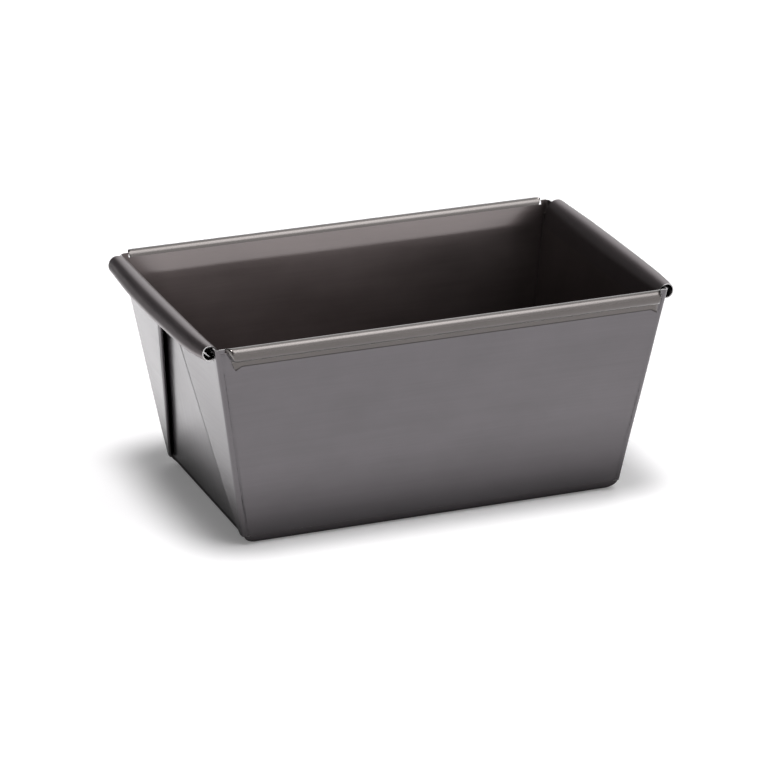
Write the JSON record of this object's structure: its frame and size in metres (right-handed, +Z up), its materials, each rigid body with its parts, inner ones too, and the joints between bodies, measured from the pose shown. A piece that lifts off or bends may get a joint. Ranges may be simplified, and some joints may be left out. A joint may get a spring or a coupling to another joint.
{
  "type": "mini loaf pan",
  "caption": "Small flared loaf pan folded from one steel sheet, with gusseted corners lying on the ends, rolled end rims and hemmed long rims.",
  "frame": {"origin": "middle of the underside of the base, on the surface that the pan stands on", "axes": "+X along the pan towards its right end, +Y across it towards the back wall, +Z up out of its mouth"},
  "size_m": [0.141, 0.0906, 0.062],
  "materials": {
    "panel_steel": "uncoated grey steel sheet, satin, with a faint grain along the pan",
    "rim_steel": "the same sheet, a little smoother and warmer where it is rolled and hemmed"
  },
  "bodies": {
    "root": {"base_panel": "panel_steel", "front_wall": "panel_steel", "back_wall": "panel_steel", "left_end_wall": "panel_steel", "right_end_wall": "panel_steel", "front_left_gusset_outer_ply": "panel_steel", "front_left_gusset_inner_ply": "panel_steel", "back_left_gusset_outer_ply": "panel_steel", "back_left_gusset_inner_ply": "panel_steel", "front_right_gusset_outer_ply": "panel_steel", "front_right_gusset_inner_ply": "panel_steel", "back_right_gusset_outer_ply": "panel_steel", "back_right_gusset_inner_ply": "panel_steel", "left_end_roll": "rim_steel", "right_end_roll": "rim_steel", "front_rim_hem": "rim_steel", "back_rim_hem": "rim_steel"}
  },
  "joints": []
}
